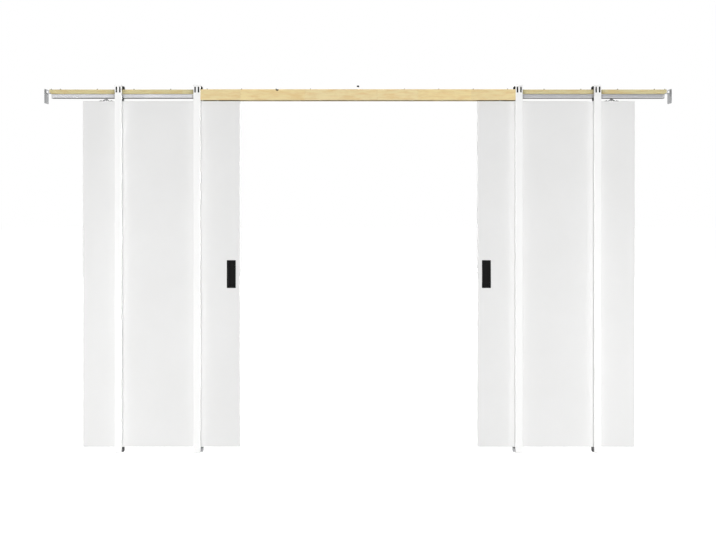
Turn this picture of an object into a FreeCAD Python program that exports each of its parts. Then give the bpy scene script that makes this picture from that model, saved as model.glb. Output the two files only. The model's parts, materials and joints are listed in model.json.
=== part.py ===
import FreeCAD
import Part
import math
import os

# Double pocket door frame: a pine header with a track under it spans the whole wall, split steel studs
# stand in pairs on both sides of the doorway, and two flush doors hang from the track and slide between
# the studs. Millimetres, +Z up, +X to the right along the wall, +Y to the back of the wall. The origin is
# on the floor, under the middle of the left inner pair of studs.

Vector = FreeCAD.Vector

# Doors
DOOR_WIDTH = 914.0
DOOR_HEIGHT = 2012.0
DOOR_THICKNESS = 35.0
DOOR_EDGE_RADIUS = 1.5
DOOR_FLOOR_GAP = 30.0
DOOR_SIDE_GAP = 8.0
MEETING_GAP = 6.0
CLOSED_OVERLAP = 3.0
OPEN_REVEAL = 17.5
OPEN_STOP_GAP = 5.0
LEFT_DOOR_SHOWN = 228.0
RIGHT_DOOR_SHOWN = 218.0

# Flush pulls, let into both faces of each door
PULL_WIDTH = 52.0
PULL_HEIGHT = 162.0
PULL_PLATE = 2.0
PULL_CORNER = 3.0
PULL_EDGE_RADIUS = 0.8
PULL_BORDER = 10.0
PULL_RECESS = 9.0
PULL_CUP_WALL = 1.5
PULL_FIT = 0.3
PULL_FROM_EDGE = 25.0
PULL_CENTRE_HEIGHT = 1036.0

# Hangers: a bent plate on the door's top edge, a bolt with two nuts, and a four-wheeled trolley
HANGER_INSET = 132.0
HANGER_SHEET = 2.0
HANGER_BEND = 1.5
HANGER_DEPTH = 24.0
HANGER_TOP = 16.0
HANGER_LEG_RUN = 9.0
HANGER_FOOT = 24.0
BOLT_RADIUS = 4.0
BOLT_FIT = 0.25
BOLT_HEAD_HEIGHT = 3.5
BOLT_END = 2.0
BOLT_DOOR_GAP = 2.0
NUT_FLATS = 13.0
NUT_HEIGHT = 4.0
NUT_TRACK_GAP = 2.0
TROLLEY_LENGTH = 60.0
TROLLEY_WIDTH = 16.0
TROLLEY_HEIGHT = 10.0
TROLLEY_HEADROOM = 4.6
AXLE_RADIUS = 2.0
AXLE_SPACING = 36.0
AXLE_FIT = 0.1
AXLE_HEAD_RADIUS = 3.5
AXLE_HEAD = 1.0
WHEEL_DIAMETER = 14.0
WHEEL_WIDTH = 7.0
WHEEL_EDGE_RADIUS = 0.8
WHEEL_BODY_GAP = 0.5
WHEEL_WALL_GAP = 4.3
WHEEL_RAIL_GAP = 0.3

# Track
TRACK_WALL = 2.2
TRACK_LIP = 2.4
TRACK_CORNER = 0.8
TRACK_TOP_ROUND = 2.0
TRACK_BOTTOM_ROUND = 7.0
TRACK_BOLT_GAP = 3.0
TRACK_STUD_GAP = 1.0
TRACK_SETBACK = 12.0

# Header strip, and the nailers on its two faces over the opening
HEADER_HEIGHT = 26.0
HEADER_END_GAP = 21.5
NAILER_HEIGHT = 63.5
NAILER_END_GAP = 1.0
BOARD_EDGE_RADIUS = 1.5

# Split studs: slotted channels of sheet steel, open towards the pocket
STUD_WIDTH = 40.0
STUD_DEPTH = 19.0
STUD_SHEET = 1.2
STUD_INNER_BEND = 0.8
OUTER_STUD_FROM_END = 425.5
STUD_ABOVE_HEADER = 25.0
SLOT_WIDTH = 7.0
SLOT_HEIGHT = 32.0
SLOT_SPACING = 20.0
SLOT_FROM_TOP = 11.0

# Floor plates, with a tongue up inside each stud of a pair
FLOOR_SHEET = 2.0
FLOOR_CORNER = 2.0
TONGUE_WIDTH = 26.0
TONGUE_HEIGHT = 24.0
FLOOR_HOLE_RADIUS = 2.75
FLOOR_HOLE_SPACING = 22.0

# End brackets: a plate for the wall stud, and a ledge in a rebate under the end of the header strip
END_SHEET = 2.5
END_CORNER = 5.0
END_DROP = 55.0
END_RISE = 28.0
END_BRIDGE = 5.0
END_FRONT_EAR = 42.5
END_REAR_POST = 4.5
END_BEARING = 10.0
END_REBATE = 5.5
END_FIT = 0.5
END_HOLE_RADIUS = 2.75
END_HOLE_SPACING_Y = 60.0
END_HOLE_SPACING_Z = 30.0

# Centre hanger: a bolt that hangs the middle of the header from the lintel, in a spacer sleeve
CENTRE_BOLT_RADIUS = 4.0
CENTRE_NUT_FLATS = 12.0
CENTRE_NUT_HEIGHT = 10.0
CENTRE_HEAD_RADIUS = 6.5
CENTRE_HEAD_HEIGHT = 3.0
CENTRE_SLEEVE_WALL = 1.5

# A cutting shape runs this far past the face that it opens
THROUGH = 1.0

# Track section, worked out around the trolley that runs in it
track_slot = 2 * (BOLT_RADIUS + TRACK_BOLT_GAP)
wheel_outer_y = TROLLEY_WIDTH / 2 + WHEEL_BODY_GAP + WHEEL_WIDTH
track_width = 2 * (wheel_outer_y + WHEEL_WALL_GAP + TRACK_WALL)
axle_above_lip = WHEEL_RAIL_GAP + WHEEL_DIAMETER / 2
track_inside = axle_above_lip + TROLLEY_HEIGHT / 2 + BOLT_HEAD_HEIGHT + TROLLEY_HEADROOM
track_height = TRACK_LIP + track_inside + TRACK_WALL

# Wall section
pocket_width = max(DOOR_THICKNESS + 2 * DOOR_SIDE_GAP, track_width + 2 * TRACK_STUD_GAP)
wall_depth = pocket_width + 2 * STUD_DEPTH
wall_face = wall_depth / 2
pocket_face = pocket_width / 2
door_face = DOOR_THICKNESS / 2

# Heights above the floor
door_bottom = DOOR_FLOOR_GAP
door_top = door_bottom + DOOR_HEIGHT
hanger_rise = HANGER_SHEET + NUT_HEIGHT + BOLT_END + BOLT_DOOR_GAP
track_bottom = door_top + hanger_rise + NUT_HEIGHT + NUT_TRACK_GAP
track_top = track_bottom + track_height
header_top = track_top + HEADER_HEIGHT
stud_top = header_top + STUD_ABOVE_HEADER
axle_height = track_bottom + TRACK_LIP + axle_above_lip
trolley_top = axle_height + TROLLEY_HEIGHT / 2

# Distances from the centre of the doorway, the same on its left and its right
half_opening = MEETING_GAP / 2 + DOOR_WIDTH - CLOSED_OVERLAP
inner_stud = half_opening + STUD_WIDTH / 2
end_inner = half_opening + DOOR_WIDTH - OPEN_REVEAL + OPEN_STOP_GAP
end_outer = end_inner + END_SHEET
outer_stud = end_inner - OUTER_STUD_FROM_END
header_half = end_inner - HEADER_END_GAP
track_half = header_half - TRACK_SETBACK
nailer_half = half_opening - NAILER_END_GAP
centre_x = inner_stud

SIDES = {"left": -1, "right": 1}
FACES = {"front": -1, "rear": 1}


def block(x, y, z):
    """A box between two values along each axis, given in any order."""
    low = Vector(min(x), min(y), min(z))
    high = Vector(max(x), max(y), max(z))
    size = high - low
    return Part.makeBox(size.x, size.y, size.z, low)


def in_space(plane, u, v, w):
    """The point at (u, v) on a section plane, moved w along that plane's normal axis."""
    if plane == "XY":
        return Vector(u, v, w)
    if plane == "XZ":
        return Vector(u, w, v)
    return Vector(w, u, v)


def prism(plane, corners, start, end):
    """A solid from a section of (u, v, radius) corners, between two places along the normal axis."""
    flat = [Vector(u, v, 0) for u, v, radius in corners]
    entries = []
    middles = []
    exits = []
    for number, (u, v, radius) in enumerate(corners):
        corner = flat[number]
        back = (flat[number - 1] - corner).normalize()
        ahead = (flat[(number + 1) % len(flat)] - corner).normalize()
        half_angle = back.getAngle(ahead) / 2
        reach = radius / math.tan(half_angle)
        bisector = (back + ahead).normalize()
        entries.append(corner + back * reach)
        middles.append(corner + bisector * (radius / math.sin(half_angle) - radius))
        exits.append(corner + ahead * reach)
    edges = []
    for number, (u, v, radius) in enumerate(corners):
        entry, middle, leave, following = [
            in_space(plane, point.x, point.y, start)
            for point in (entries[number], middles[number], exits[number], entries[(number + 1) % len(flat)])
        ]
        if radius > 0:
            edges.append(Part.Arc(entry, middle, leave).toShape())
        edges.append(Part.LineSegment(leave, following).toShape())
    section = Part.Face(Part.Wire(edges))
    return section.extrude(in_space(plane, 0, 0, end - start))


def rectangle(u, v, radius):
    """Corners of a rectangle between two values each way, all with one radius."""
    return [
        (min(u), min(v), radius),
        (max(u), min(v), radius),
        (max(u), max(v), radius),
        (min(u), max(v), radius),
    ]


def upright(radius, x, y, z):
    """A vertical cylinder between two heights."""
    return Part.makeCylinder(radius, max(z) - min(z), Vector(x, y, min(z)))


def hexagon(flats, x, y, z):
    """A vertical hexagonal prism of a given width over its flats."""
    reach = flats / math.sqrt(3)
    corners = []
    for number in range(6):
        angle = math.radians(60 * number)
        corners.append((x + reach * math.cos(angle), y + reach * math.sin(angle), 0))
    return prism("XY", corners, min(z), max(z))


def save(name, shape):
    """Writes one piece, or several that don't touch, as one sub-part."""
    shape.exportStep(f"parts/{name}.step")


def make_header_strip():
    section = rectangle((-pocket_face, pocket_face), (track_top, header_top), BOARD_EDGE_RADIUS)
    strip = prism("YZ", section, centre_x - header_half, centre_x + header_half)
    bore = upright(CENTRE_BOLT_RADIUS + BOLT_FIT, centre_x, 0, (track_top - THROUGH, header_top + THROUGH))
    strip = strip.cut(bore)
    rebate_y = (-pocket_face - THROUGH, pocket_face + THROUGH)
    rebate_z = (track_top - THROUGH, track_top + END_REBATE)
    for side in SIDES.values():
        shoulder = centre_x + side * (header_half - END_BEARING - END_FIT)
        end = centre_x + side * (header_half + THROUGH)
        strip = strip.cut(block((shoulder, end), rebate_y, rebate_z))
    return strip


def make_nailer(face):
    inside = face * pocket_face
    outside = face * wall_face
    section = rectangle((inside, outside), (header_top - NAILER_HEIGHT, header_top), BOARD_EDGE_RADIUS)
    return prism("YZ", section, centre_x - nailer_half, centre_x + nailer_half)


def make_track():
    half = track_width / 2
    slot = track_slot / 2
    wall = half - TRACK_WALL
    lip_top = track_bottom + TRACK_LIP
    roof = track_top - TRACK_WALL
    inner_round = TRACK_BOTTOM_ROUND - TRACK_WALL
    section = [
        (-slot, track_bottom, 0),
        (-half, track_bottom, TRACK_BOTTOM_ROUND),
        (-half, track_top, TRACK_TOP_ROUND),
        (half, track_top, TRACK_TOP_ROUND),
        (half, track_bottom, TRACK_BOTTOM_ROUND),
        (slot, track_bottom, 0),
        (slot, lip_top, 0),
        (wall, lip_top, inner_round),
        (wall, roof, TRACK_CORNER),
        (-wall, roof, TRACK_CORNER),
        (-wall, lip_top, inner_round),
        (-slot, lip_top, 0),
    ]
    track = prism("YZ", section, centre_x - track_half, centre_x + track_half)
    bore = upright(CENTRE_BOLT_RADIUS + BOLT_FIT, centre_x, 0, (roof - THROUGH, track_top + THROUGH))
    return track.cut(bore)


def make_stud(x, face):
    half = STUD_WIDTH / 2
    inner_half = half - STUD_SHEET
    bend = STUD_INNER_BEND + STUD_SHEET
    edge = face * pocket_face
    web_out = face * wall_face
    web_in = face * (wall_face - STUD_SHEET)
    section = [
        (x - half, edge, 0),
        (x - half, web_out, bend),
        (x + half, web_out, bend),
        (x + half, edge, 0),
        (x + inner_half, edge, 0),
        (x + inner_half, web_in, STUD_INNER_BEND),
        (x - inner_half, web_in, STUD_INNER_BEND),
        (x - inner_half, edge, 0),
    ]
    stud = prism("XY", section, FLOOR_SHEET, stud_top)
    for across in (-SLOT_SPACING / 2, SLOT_SPACING / 2):
        stud = stud.cut(make_slot(x + across, face))
    return stud


def make_slot(x, face):
    """The cutting shape of one upright slot with round ends, through the web of a stud."""
    radius = SLOT_WIDTH / 2
    y = (face * (wall_face - STUD_SHEET - THROUGH), face * (wall_face + THROUGH))
    high = stud_top - SLOT_FROM_TOP - radius
    low = stud_top - SLOT_FROM_TOP - SLOT_HEIGHT + radius
    slot = block((x - radius, x + radius), y, (low, high))
    for z in (low, high):
        end = Part.makeCylinder(radius, max(y) - min(y), Vector(x, min(y), z), Vector(0, 1, 0))
        slot = slot.fuse(end)
    return slot


def make_floor_plate(x):
    half = STUD_WIDTH / 2
    section = rectangle((x - half, x + half), (-wall_face, wall_face), FLOOR_CORNER)
    plate = prism("XY", section, 0, FLOOR_SHEET)
    for face in FACES.values():
        seat = face * (wall_face - STUD_SHEET)
        tongue_x = (x - TONGUE_WIDTH / 2, x + TONGUE_WIDTH / 2)
        tongue = block(tongue_x, (seat, seat - face * FLOOR_SHEET), (0, TONGUE_HEIGHT))
        plate = plate.fuse(tongue)
    for across in (-FLOOR_HOLE_SPACING / 2, FLOOR_HOLE_SPACING / 2):
        hole = upright(FLOOR_HOLE_RADIUS, x + across, 0, (-THROUGH, FLOOR_SHEET + THROUGH))
        plate = plate.cut(hole)
    return plate.removeSplitter()


def make_end_bracket(side):
    inner = centre_x + side * end_inner
    outer = centre_x + side * end_outer
    ledge_end = centre_x + side * (header_half - END_BEARING)
    plate_z = (track_top - END_DROP, track_top + END_RISE)
    section = rectangle((-wall_face, wall_face), plate_z, END_CORNER)
    plate = prism("YZ", section, min(inner, outer), max(inner, outer))
    window_x = (inner - side * THROUGH, outer + side * THROUGH)
    ledge_top = track_top + END_REBATE
    window_z = (ledge_top, track_top + END_RISE - END_BRIDGE)
    window_y = (-wall_face + END_FRONT_EAR, wall_face - END_REAR_POST)
    plate = plate.cut(block(window_x, window_y, window_z))
    ledge = block((ledge_end, inner), (-pocket_face, pocket_face), (ledge_top - END_SHEET, ledge_top))
    bracket = plate.fuse(ledge).removeSplitter()
    hole_middle = track_top - END_DROP / 2
    for y in (-END_HOLE_SPACING_Y / 2, END_HOLE_SPACING_Y / 2):
        for z in (hole_middle - END_HOLE_SPACING_Z / 2, hole_middle + END_HOLE_SPACING_Z / 2):
            start = Vector(min(window_x), y, z)
            length = END_SHEET + 2 * THROUGH
            bracket = bracket.cut(Part.makeCylinder(END_HOLE_RADIUS, length, start, Vector(1, 0, 0)))
    return bracket


def make_centre_sleeve():
    bore = CENTRE_BOLT_RADIUS + BOLT_FIT
    z = (header_top, stud_top - CENTRE_NUT_HEIGHT)
    sleeve = upright(bore + CENTRE_SLEEVE_WALL, centre_x, 0, z)
    return sleeve.cut(upright(bore, centre_x, 0, (z[0] - THROUGH, z[1] + THROUGH)))


def make_centre_bolt():
    seat = track_top - TRACK_WALL
    head = upright(CENTRE_HEAD_RADIUS, centre_x, 0, (seat - CENTRE_HEAD_HEIGHT, seat))
    shank = upright(CENTRE_BOLT_RADIUS, centre_x, 0, (seat - CENTRE_HEAD_HEIGHT, stud_top))
    nut = hexagon(CENTRE_NUT_FLATS, centre_x, 0, (stud_top - CENTRE_NUT_HEIGHT, stud_top))
    return shank.fuse([head, nut]).removeSplitter()


def pull_corners(x, inset, grow, radius):
    """Section of a flush pull in from its edge by inset, grown by a fit all round."""
    half_width = PULL_WIDTH / 2 - inset + grow
    half_height = PULL_HEIGHT / 2 - inset + grow
    across = (x - half_width, x + half_width)
    up = (PULL_CENTRE_HEIGHT - half_height, PULL_CENTRE_HEIGHT + half_height)
    return rectangle(across, up, radius)


def pull_prism(x, face, inset, grow, depth, height):
    """Part of a flush pull, or of its mortise, from a depth under the door's face to a height over it."""
    start = face * (door_face - depth)
    end = face * (door_face + height)
    return prism("XZ", pull_corners(x, inset, grow, PULL_CORNER), min(start, end), max(start, end))


def make_pull(x, face):
    cup_inset = PULL_BORDER - PULL_CUP_WALL
    plate = pull_prism(x, face, 0, 0, 0, PULL_PLATE)
    cup = pull_prism(x, face, cup_inset, 0, PULL_RECESS + PULL_CUP_WALL, PULL_PLATE)
    recess = pull_prism(x, face, PULL_BORDER, 0, PULL_RECESS, PULL_PLATE + THROUGH)
    pull = plate.fuse(cup).cut(recess).removeSplitter()
    front = face * (door_face + PULL_PLATE)
    rim = [edge for edge in pull.Edges if all(abs(v.Y - front) < 1e-6 for v in edge.Vertexes)]
    return pull.makeFillet(PULL_EDGE_RADIUS, rim)


def make_door(leading, trailing, pull_x):
    slab = block((leading, trailing), (-door_face, door_face), (door_bottom, door_top))
    slab = slab.makeFillet(DOOR_EDGE_RADIUS, slab.Edges)
    cup_inset = PULL_BORDER - PULL_CUP_WALL
    for face in FACES.values():
        depth = PULL_RECESS + PULL_CUP_WALL + PULL_FIT
        slab = slab.cut(pull_prism(pull_x, face, cup_inset, PULL_FIT, depth, THROUGH))
    return slab


def make_hanger_plate(x):
    """A bent plate whose two feet lie on the door's top edge and whose raised middle takes the bolt."""
    low = door_top
    high = door_top + hanger_rise
    top = HANGER_TOP / 2
    foot = top + HANGER_LEG_RUN
    end = foot + HANGER_FOOT
    slope = math.atan2(hanger_rise - HANGER_SHEET, HANGER_LEG_RUN)
    mitre = HANGER_SHEET * math.tan(slope / 2)
    outer_bend = HANGER_BEND + HANGER_SHEET
    under = [(foot, low, outer_bend), (top, high - HANGER_SHEET, HANGER_BEND)]
    over = [(foot + mitre, low + HANGER_SHEET, HANGER_BEND), (top + mitre, high, outer_bend)]
    right = [(end, low + HANGER_SHEET, 0), (end, low, 0)]
    section = [(x + u, v, radius) for u, v, radius in right + under]
    section += [(x - u, v, radius) for u, v, radius in reversed(right + under)]
    section += [(x - u, v, radius) for u, v, radius in over]
    section += [(x + u, v, radius) for u, v, radius in reversed(over)]
    plate = prism("XZ", section, -HANGER_DEPTH / 2, HANGER_DEPTH / 2)
    return plate.cut(upright(BOLT_RADIUS + BOLT_FIT, x, 0, (low, high + THROUGH)))


def make_hanger_bolt(x):
    """The bolt that carries a door: its head on the trolley, its nuts above and under the bent plate."""
    plate_top = door_top + hanger_rise
    lower_nut = plate_top - HANGER_SHEET - NUT_HEIGHT
    shank = upright(BOLT_RADIUS, x, 0, (lower_nut - BOLT_END, trolley_top + BOLT_HEAD_HEIGHT))
    head = hexagon(NUT_FLATS, x, 0, (trolley_top, trolley_top + BOLT_HEAD_HEIGHT))
    upper = hexagon(NUT_FLATS, x, 0, (plate_top, plate_top + NUT_HEIGHT))
    lower = hexagon(NUT_FLATS, x, 0, (lower_nut, lower_nut + NUT_HEIGHT))
    return shank.fuse([head, upper, lower]).removeSplitter()


def axle_places(x):
    return (x - AXLE_SPACING / 2, x + AXLE_SPACING / 2)


def make_trolley(x):
    half = TROLLEY_LENGTH / 2
    body_z = (axle_height - TROLLEY_HEIGHT / 2, trolley_top)
    trolley = block((x - half, x + half), (-TROLLEY_WIDTH / 2, TROLLEY_WIDTH / 2), body_z)
    trolley = trolley.cut(upright(BOLT_RADIUS + BOLT_FIT, x, 0, (body_z[0] - THROUGH, body_z[1] + THROUGH)))
    pin_end = wheel_outer_y + AXLE_FIT
    along = Vector(0, 1, 0)
    for axle_x in axle_places(x):
        start = Vector(axle_x, -pin_end, axle_height)
        pin = Part.makeCylinder(AXLE_RADIUS, 2 * pin_end, start, along)
        near = Part.makeCylinder(AXLE_HEAD_RADIUS, AXLE_HEAD, start - along * AXLE_HEAD, along)
        far = Part.makeCylinder(AXLE_HEAD_RADIUS, AXLE_HEAD, start + along * 2 * pin_end, along)
        trolley = trolley.fuse([pin, near, far])
    return trolley.removeSplitter()


def make_wheels(x):
    """The four wheels of one trolley, as separate solids."""
    wheels = []
    along = Vector(0, 1, 0)
    for axle_x in axle_places(x):
        for y in (-wheel_outer_y, wheel_outer_y - WHEEL_WIDTH):
            start = Vector(axle_x, y, axle_height)
            wheel = Part.makeCylinder(WHEEL_DIAMETER / 2, WHEEL_WIDTH, start, along)
            rims = [edge for edge in wheel.Edges if isinstance(edge.Curve, Part.Circle)]
            wheel = wheel.makeFillet(WHEEL_EDGE_RADIUS, rims)
            bore_start = start - along * THROUGH
            bore = Part.makeCylinder(AXLE_RADIUS + AXLE_FIT, WHEEL_WIDTH + 2 * THROUGH, bore_start, along)
            wheels.append(wheel.cut(bore))
    return Part.makeCompound(wheels)


def save_door(side_name, shown):
    side = SIDES[side_name]
    leading = centre_x + side * (half_opening - shown)
    trailing = leading + side * DOOR_WIDTH
    pull_x = leading + side * (PULL_FROM_EDGE + PULL_WIDTH / 2)
    save(f"{side_name}_door", make_door(leading, trailing, pull_x))
    for face_name, face in FACES.items():
        save(f"{side_name}_door_{face_name}_pull", make_pull(pull_x, face))
    hangers = {"inner": leading + side * HANGER_INSET, "outer": trailing - side * HANGER_INSET}
    for place, x in hangers.items():
        save(f"{side_name}_{place}_hanger_plate", make_hanger_plate(x))
        save(f"{side_name}_{place}_hanger_bolt", make_hanger_bolt(x))
        save(f"{side_name}_{place}_trolley", make_trolley(x))
        save(f"{side_name}_{place}_wheels", make_wheels(x))


def save_studs(side_name):
    for place, distance in {"inner": inner_stud, "outer": outer_stud}.items():
        x = centre_x + SIDES[side_name] * distance
        save(f"{side_name}_{place}_floor_plate", make_floor_plate(x))
        for face_name, face in FACES.items():
            save(f"{side_name}_{place}_{face_name}_stud", make_stud(x, face))


os.makedirs("parts", exist_ok=True)
save("header_strip", make_header_strip())
save("track", make_track())
save("centre_hanger_bolt", make_centre_bolt())
save("centre_hanger_sleeve", make_centre_sleeve())
for face_name, face in FACES.items():
    save(f"{face_name}_nailer", make_nailer(face))
for side_name, side in SIDES.items():
    save(f"{side_name}_end_bracket", make_end_bracket(side))
    save_studs(side_name)
save_door("left", LEFT_DOOR_SHOWN)
save_door("right", RIGHT_DOOR_SHOWN)
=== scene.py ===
# %% [markdown]
# # A double pocket door frame
#
# Two flush doors hang from one long track and slide apart into the wall. A pine header carries the track, and
# slim steel studs stand in pairs on both sides of each door, so that wallboard can be fixed on either side.
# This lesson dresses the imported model: it sets the camera and the light, gives every piece a finish made of
# shader nodes, and adds the screws, spacers and thin plates that the model leaves out.

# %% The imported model
import json
import math

import bmesh
import bpy
from mathutils import Matrix, Vector


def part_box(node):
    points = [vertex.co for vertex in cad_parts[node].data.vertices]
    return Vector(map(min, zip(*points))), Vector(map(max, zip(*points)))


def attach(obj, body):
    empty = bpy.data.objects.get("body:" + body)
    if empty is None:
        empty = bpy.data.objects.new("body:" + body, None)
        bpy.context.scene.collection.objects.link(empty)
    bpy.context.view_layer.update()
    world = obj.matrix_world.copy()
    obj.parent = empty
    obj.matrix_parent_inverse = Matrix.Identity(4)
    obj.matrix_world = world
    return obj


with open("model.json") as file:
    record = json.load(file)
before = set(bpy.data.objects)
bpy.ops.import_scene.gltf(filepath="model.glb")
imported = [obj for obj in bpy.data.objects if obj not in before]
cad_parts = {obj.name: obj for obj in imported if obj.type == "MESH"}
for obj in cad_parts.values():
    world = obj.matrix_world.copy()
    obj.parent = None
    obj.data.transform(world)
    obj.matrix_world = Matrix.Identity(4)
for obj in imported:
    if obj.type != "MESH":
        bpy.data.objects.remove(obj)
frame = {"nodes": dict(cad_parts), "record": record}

scene = bpy.context.scene
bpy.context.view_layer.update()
nodes = frame["nodes"]

# %% [markdown]
# ## Camera
#
# The picture was taken square on, with all upright edges parallel. A tilted camera would make them lean, so
# the camera stays level at eye height, and a lens shift lowers the view instead, as on a view camera. The
# focal length follows from the image's width in pixels, which keeps the sums in one unit.

# %% Camera square on to the doorway
IMAGE_WIDTH = 716
FOCAL_PIXELS = 1173.7
HORIZON_OVER_MIDDLE = 80
SENSOR_WIDTH = 36
EYE_HEIGHT = 1.525
EYE_DISTANCE = 6.8445
LEVEL_TURN = math.radians(90)

stud_low, stud_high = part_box("left_inner_front_stud")
doorway_left = stud_high.x
doorway_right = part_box("right_inner_front_stud")[0].x
doorway_x = (doorway_left + doorway_right) / 2

camera_data = bpy.data.cameras.new("camera")
camera_data.sensor_width = SENSOR_WIDTH
camera_data.lens = FOCAL_PIXELS * SENSOR_WIDTH / IMAGE_WIDTH
camera_data.shift_y = -HORIZON_OVER_MIDDLE / IMAGE_WIDTH
camera = bpy.data.objects.new("camera", camera_data)
camera.location = (doorway_x, -EYE_DISTANCE, EYE_HEIGHT)
camera.rotation_euler = (LEVEL_TURN, 0, 0)
scene.collection.objects.link(camera)
scene.camera = camera
scene.view_settings.view_transform = "Standard"
print("lens", round(camera_data.lens, 2), "mm, doorway centre", round(doorway_x, 4))

# %% [markdown]
# ## Node helpers
#
# Every finish below is a small network of shader nodes. Adding nodes one call at a time makes long code, so a
# few helpers do the repeated work. The first adds any node and fills its sockets: a value may be a number or
# another node's output, and it is set or linked as needed. The others add one common node each.

# %% Helpers that add nodes
def add_node(tree, kind, inputs=None, **settings):
    """Adds a node, sets its properties, then fills its inputs with values or with other nodes' outputs."""
    made = tree.nodes.new(kind)
    for name, value in settings.items():
        setattr(made, name, value)
    for name, value in (inputs or {}).items():
        if isinstance(value, bpy.types.NodeSocket):
            tree.links.new(value, made.inputs[name])
        else:
            made.inputs[name].default_value = value
    return made


def calc(tree, operation, *values):
    """One Math node on one, two or three values."""
    return add_node(tree, "ShaderNodeMath", dict(enumerate(values)), operation=operation).outputs[0]


def stretch(tree, point, scale):
    """The point with each axis scaled, which stretches a pattern along the axis that is scaled least."""
    made = add_node(tree, "ShaderNodeVectorMath", {0: point, 1: scale}, operation="MULTIPLY")
    return made.outputs["Vector"]


def shift(tree, point, offset):
    """The point moved by an offset."""
    made = add_node(tree, "ShaderNodeVectorMath", {0: point, 1: offset}, operation="ADD")
    return made.outputs["Vector"]


def split(tree, point):
    """The X, Y and Z of a point or a direction."""
    return add_node(tree, "ShaderNodeSeparateXYZ", {0: point}).outputs


def spread(tree, value, source, target):
    """A value moved from one range to another, and held inside it."""
    inputs = {"Value": value, "From Min": source[0], "From Max": source[1]}
    inputs.update({"To Min": target[0], "To Max": target[1]})
    return add_node(tree, "ShaderNodeMapRange", inputs, clamp=True).outputs["Result"]


def noise(tree, point, detail, scale=1.0, roughness=0.5):
    """A cloudy pattern; gives its outputs, the value Fac and the colour Color."""
    inputs = {"Vector": point, "Scale": scale, "Detail": detail, "Roughness": roughness}
    return add_node(tree, "ShaderNodeTexNoise", inputs).outputs


def mix_colours(tree, share, first, second, blend="MIX"):
    """A Mix node set to colours, which has its share on socket 0 and its two colours on 6 and 7."""
    inputs = {0: share, 6: first, 7: second}
    return add_node(tree, "ShaderNodeMix", inputs, data_type="RGBA", blend_type=blend).outputs[2]


def shade_colour(tree, colour, shade):
    """A colour times a shade or a tint."""
    return mix_colours(tree, 1.0, colour, shade, "MULTIPLY")


UNIT = (0.0, 1.0)
print("node helpers ready")

# %% Helpers for groups and materials
FLOAT = "NodeSocketFloat"
VECTOR = "NodeSocketVector"
COLOUR = "NodeSocketColor"


def start_group(name, inputs, outputs):
    """An empty node group with named sockets; gives its tree, its inner inputs and its inner outputs."""
    group = bpy.data.node_groups.new(name, "ShaderNodeTree")
    for label, kind in inputs.items():
        group.interface.new_socket(name=label, in_out="INPUT", socket_type=kind)
    for label, kind in outputs.items():
        group.interface.new_socket(name=label, in_out="OUTPUT", socket_type=kind)
    return group, group.nodes.new("NodeGroupInput").outputs, group.nodes.new("NodeGroupOutput").inputs


def use_group(tree, group, inputs):
    """A group placed in a material with values of its own; gives its outputs."""
    return add_node(tree, "ShaderNodeGroup", inputs, node_tree=group).outputs


def start_material(name):
    """A new material; gives it with its tree, its Principled BSDF's inputs and the Object coordinates."""
    material = bpy.data.materials.new(name)
    material.use_nodes = True
    tree = material.node_tree
    point = tree.nodes.new("ShaderNodeTexCoord").outputs["Object"]
    return material, tree, tree.nodes["Principled BSDF"].inputs, point


def surface_normal(tree):
    """The direction that the surface faces."""
    return tree.nodes.new("ShaderNodeNewGeometry").outputs["Normal"]


def add_bump(tree, surface, height, distance):
    """Shades a surface as if a height of 1 stood out by the distance."""
    bump = add_node(tree, "ShaderNodeBump", {"Height": height, "Distance": distance})
    tree.links.new(bump.outputs["Normal"], surface["Normal"])


finishes = {}
print("group and material helpers ready")

# %% [markdown]
# ## Floor and backdrop
#
# The picture has no visible room: the frame stands on white. One very large floor gives the white, because a
# backdrop close behind would catch shadows. To the camera, and in reflections, the floor adds light of its
# own, so it reaches white without more light on the doors, and it still darkens a little under the feet.

# %% Floor
FLOOR_HALF = 40.0
FLOOR_BOUNCE = (0.36, 0.36, 0.36, 1)
FLOOR_SEEN = (0.9, 0.9, 0.9, 1)
FLOOR_GLOW = 0.9


def seen_directly(tree):
    """1 for a ray from the camera, a mirror or a glass, and 0 for a ray that carries light about the room."""
    path = tree.nodes.new("ShaderNodeLightPath").outputs
    mirrored = calc(tree, "MAXIMUM", path["Is Glossy Ray"], path["Is Transmission Ray"])
    return calc(tree, "MAXIMUM", path["Is Camera Ray"], mirrored)


def make_floor_white():
    material = bpy.data.materials.new("floor_white")
    material.use_nodes = True
    tree = material.node_tree
    tree.nodes.remove(tree.nodes["Principled BSDF"])
    bounce = add_node(tree, "ShaderNodeBsdfDiffuse", {"Color": FLOOR_BOUNCE}).outputs[0]
    seen = add_node(tree, "ShaderNodeBsdfDiffuse", {"Color": FLOOR_SEEN}).outputs[0]
    glow = add_node(tree, "ShaderNodeEmission", {"Strength": FLOOR_GLOW}).outputs[0]
    lit = add_node(tree, "ShaderNodeAddShader", {0: seen, 1: glow}).outputs[0]
    choice = add_node(tree, "ShaderNodeMixShader", {0: seen_directly(tree), 1: bounce, 2: lit}).outputs[0]
    tree.links.new(choice, tree.nodes["Material Output"].inputs["Surface"])
    return material


shape = bmesh.new()
bmesh.ops.create_grid(shape, x_segments=1, y_segments=1, size=FLOOR_HALF)
floor_mesh = bpy.data.meshes.new("floor")
shape.to_mesh(floor_mesh)
shape.free()
floor_mesh.materials.append(make_floor_white())
floor = bpy.data.objects.new("floor", floor_mesh)
scene.collection.objects.link(floor)
print("floor", 2 * FLOOR_HALF, "m across")

# %% World
WHITE = (1, 1, 1, 1)
ROOM_LIGHT = 0.12
BACKDROP_LIGHT = 1.0

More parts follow.
